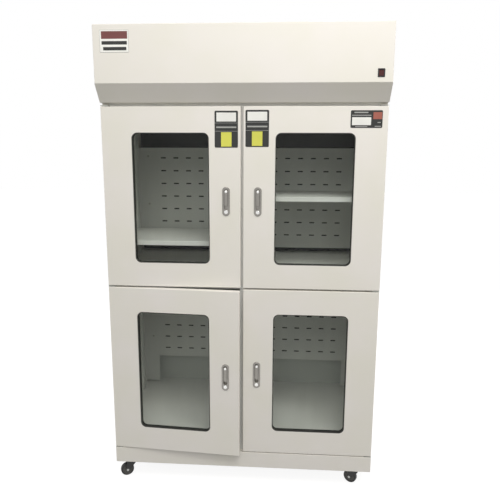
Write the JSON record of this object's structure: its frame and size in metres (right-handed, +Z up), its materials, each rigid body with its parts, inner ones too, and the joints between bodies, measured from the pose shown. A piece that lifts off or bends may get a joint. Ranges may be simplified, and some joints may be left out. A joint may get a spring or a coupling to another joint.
{
  "type": "ventilated chemical storage cabinet",
  "caption": "Tall steel storage cabinet with glazed hinged doors in two tiers, perforated rear baffles, shelves, a ventilation hood with a rocker switch, and swivel casters.",
  "frame": {"origin": "centre of the footprint at floor level, where the wheels rest", "axes": "+Z up, the doors face -Y, +X to the right of someone who faces the doors"},
  "size_m": [1.2, 0.656, 2.0461],
  "materials": {
    "cabinet_paint": "warm off-white powder coat, fine texture",
    "apron_paint": "powder coat, in the hood's shade",
    "liner_paint": "off-white powder coat, inside",
    "galvanised_steel": "zinc plated",
    "gasket_rubber": "black extruded rubber",
    "seal_rubber": "grey magnetic strip",
    "window_glass": "clear toughened glass",
    "handle_zinc": "satin nickel-plated zinc casting",
    "lock_chrome": "polished chrome",
    "caster_black": "black painted pressed steel",
    "caster_tread": "black moulded wheel",
    "black_plastic": "moulded black nylon",
    "rocker_red": "translucent dark red",
    "filter_media": "pleated filter paper",
    "fan_grey": "moulded grey plastic"
  },
  "bodies": {
    "cabinet": {"side_panel_left": "cabinet_paint", "side_panel_right": "cabinet_paint", "rear_panel": "cabinet_paint", "kick_panel": "cabinet_paint", "base_plate": "cabinet_paint", "lower_floor": "liner_paint", "middle_floor": "liner_paint", "roof_panel": "liner_paint", "centre_posts": "cabinet_paint", "baffle_upper": "liner_paint", "baffle_lower": "liner_paint", "baffle_screws": "galvanised_steel", "shelf_uprights": "liner_paint", "shelf_left": "liner_paint", "shelf_right": "liner_paint", "shelf_clips": "galvanised_steel", "hood_casing": "cabinet_paint", "hood_apron": "apron_paint", "filter_cartridge": "filter_media", "fan_housing": "galvanised_steel", "fan_motor": "fan_grey", "switch_bezel": "black_plastic", "power_inlet": "black_plastic", "hinge_plates": "cabinet_paint", "door_seals": "seal_rubber", "caster_plates": "caster_black"},
    "impeller": {"fan_impeller": "fan_grey"},
    "rocker": {"switch_rocker": "rocker_red"},
    "door_upper_left": {"door_upper_left": "cabinet_paint", "window_gasket_upper_left": "gasket_rubber", "window_glass_upper_left": "window_glass", "handle_base_upper_left": "handle_zinc"},
    "lever_upper_left": {"handle_lever_upper_left": "handle_zinc"},
    "lock_upper_left": {"lock_plug_upper_left": "lock_chrome"},
    "door_upper_right": {"door_upper_right": "cabinet_paint", "window_gasket_upper_right": "gasket_rubber", "window_glass_upper_right": "window_glass", "handle_base_upper_right": "handle_zinc"},
    "lever_upper_right": {"handle_lever_upper_right": "handle_zinc"},
    "lock_upper_right": {"lock_plug_upper_right": "lock_chrome"},
    "door_lower_left": {"door_lower_left": "cabinet_paint", "window_gasket_lower_left": "gasket_rubber", "window_glass_lower_left": "window_glass", "handle_base_lower_left": "handle_zinc"},
    "lever_lower_left": {"handle_lever_lower_left": "handle_zinc"},
    "lock_lower_left": {"lock_plug_lower_left": "lock_chrome"},
    "door_lower_right": {"door_lower_right": "cabinet_paint", "window_gasket_lower_right": "gasket_rubber", "window_glass_lower_right": "window_glass", "handle_base_lower_right": "handle_zinc"},
    "lever_lower_right": {"handle_lever_lower_right": "handle_zinc"},
    "lock_lower_right": {"lock_plug_lower_right": "lock_chrome"},
    "caster_front_left": {"caster_fork_front_left": "caster_black"},
    "wheel_front_left": {"caster_wheel_front_left": "caster_tread"},
    "caster_front_right": {"caster_fork_front_right": "caster_black"},
    "wheel_front_right": {"caster_wheel_front_right": "caster_tread"},
    "caster_rear_left": {"caster_fork_rear_left": "caster_black"},
    "wheel_rear_left": {"caster_wheel_rear_left": "caster_tread"},
    "caster_rear_right": {"caster_fork_rear_right": "caster_black"},
    "wheel_rear_right": {"caster_wheel_rear_right": "caster_tread"}
  },
  "joints": [
    {"name": "fan_spin", "type": "hinge", "parent": "cabinet", "child": "impeller", "pos_m": [0, 0.028, 1.9861], "axis": [0, 0, 1], "continuous": true},
    {"name": "rocker_tilt", "type": "hinge", "parent": "cabinet", "child": "rocker", "pos_m": [0.5526, -0.32161, 1.8535], "axis": [-1, 0, 0], "range_deg": [0, 16]},
    {"name": "door_upper_left_swing", "type": "hinge", "parent": "cabinet", "child": "door_upper_left", "pos_m": [-0.5875, -0.262, 1.3447], "axis": [0, 0, -1], "range_deg": [0, 110]},
    {"name": "lever_upper_left_lift", "type": "hinge", "parent": "door_upper_left", "child": "lever_upper_left", "pos_m": [-0.068, -0.27055, 1.3797], "axis": [-1, 0, 0], "range_deg": [0, 35]},
    {"name": "lock_upper_left_turn", "type": "hinge", "parent": "door_upper_left", "child": "lock_upper_left", "pos_m": [-0.068, -0.272, 1.2927], "axis": [0, -1, 0], "range_deg": [0, 90]},
    {"name": "door_upper_right_swing", "type": "hinge", "parent": "cabinet", "child": "door_upper_right", "pos_m": [0.5875, -0.262, 1.3447], "axis": [0, 0, 1], "range_deg": [0, 110]},
    {"name": "lever_upper_right_lift", "type": "hinge", "parent": "door_upper_right", "child": "lever_upper_right", "pos_m": [0.068, -0.27055, 1.3797], "axis": [-1, 0, 0], "range_deg": [0, 35]},
    {"name": "lock_upper_right_turn", "type": "hinge", "parent": "door_upper_right", "child": "lock_upper_right", "pos_m": [0.068, -0.272, 1.2927], "axis": [0, -1, 0], "range_deg": [0, 90]},
    {"name": "door_lower_left_swing", "type": "hinge", "parent": "cabinet", "child": "door_lower_left", "pos_m": [-0.5875, -0.262, 0.5584], "axis": [0, 0, -1], "range_deg": [-4, 106]},
    {"name": "lever_lower_left_lift", "type": "hinge", "parent": "door_lower_left", "child": "lever_lower_left", "pos_m": [-0.06986, -0.30677, 0.5934], "axis": [-0.9976, 0.0698, 0], "range_deg": [0, 35]},
    {"name": "lock_lower_left_turn", "type": "hinge", "parent": "door_lower_left", "child": "lock_lower_left", "pos_m": [-0.06996, -0.30821, 0.5064], "axis": [-0.0698, -0.9976, 0], "range_deg": [0, 90]},
    {"name": "door_lower_right_swing", "type": "hinge", "parent": "cabinet", "child": "door_lower_right", "pos_m": [0.5875, -0.262, 0.5584], "axis": [0, 0, 1], "range_deg": [0, 110]},
    {"name": "lever_lower_right_lift", "type": "hinge", "parent": "door_lower_right", "child": "lever_lower_right", "pos_m": [0.068, -0.27055, 0.5934], "axis": [-1, 0, 0], "range_deg": [0, 35]},
    {"name": "lock_lower_right_turn", "type": "hinge", "parent": "door_lower_right", "child": "lock_lower_right", "pos_m": [0.068, -0.272, 0.5064], "axis": [0, -1, 0], "range_deg": [0, 90]},
    {"name": "caster_front_left_swivel", "type": "hinge", "parent": "cabinet", "child": "caster_front_left", "pos_m": [-0.538, -0.228, 0.088], "axis": [0, 0, 1], "continuous": true},
    {"name": "wheel_front_left_roll", "type": "hinge", "parent": "caster_front_left", "child": "wheel_front_left", "pos_m": [-0.55966, -0.23833, 0.031], "axis": [-0.4305, 0.9026, 0], "continuous": true},
    {"name": "caster_front_right_swivel", "type": "hinge", "parent": "cabinet", "child": "caster_front_right", "pos_m": [0.538, -0.228, 0.088], "axis": [0, 0, 1], "continuous": true},
    {"name": "wheel_front_right_roll", "type": "hinge", "parent": "caster_front_right", "child": "wheel_front_right", "pos_m": [0.51721, -0.216, 0.031], "axis": [0.5, 0.866, 0], "continuous": true},
    {"name": "caster_rear_left_swivel", "type": "hinge", "parent": "cabinet", "child": "caster_rear_left", "pos_m": [-0.538, 0.268, 0.088], "axis": [0, 0, 1], "continuous": true},
    {"name": "wheel_rear_left_roll", "type": "hinge", "parent": "caster_rear_left", "child": "wheel_rear_left", "pos_m": [-0.52673, 0.28919, 0.031], "axis": [0.8829, -0.4695, 0], "continuous": true},
    {"name": "caster_rear_right_swivel", "type": "hinge", "parent": "cabinet", "child": "caster_rear_right", "pos_m": [0.538, 0.268, 0.088], "axis": [0, 0, 1], "continuous": true},
    {"name": "wheel_rear_right_roll", "type": "hinge", "parent": "caster_rear_right", "child": "wheel_rear_right", "pos_m": [0.52673, 0.28919, 0.031], "axis": [0.8829, 0.4695, 0], "continuous": true}
  ]
}
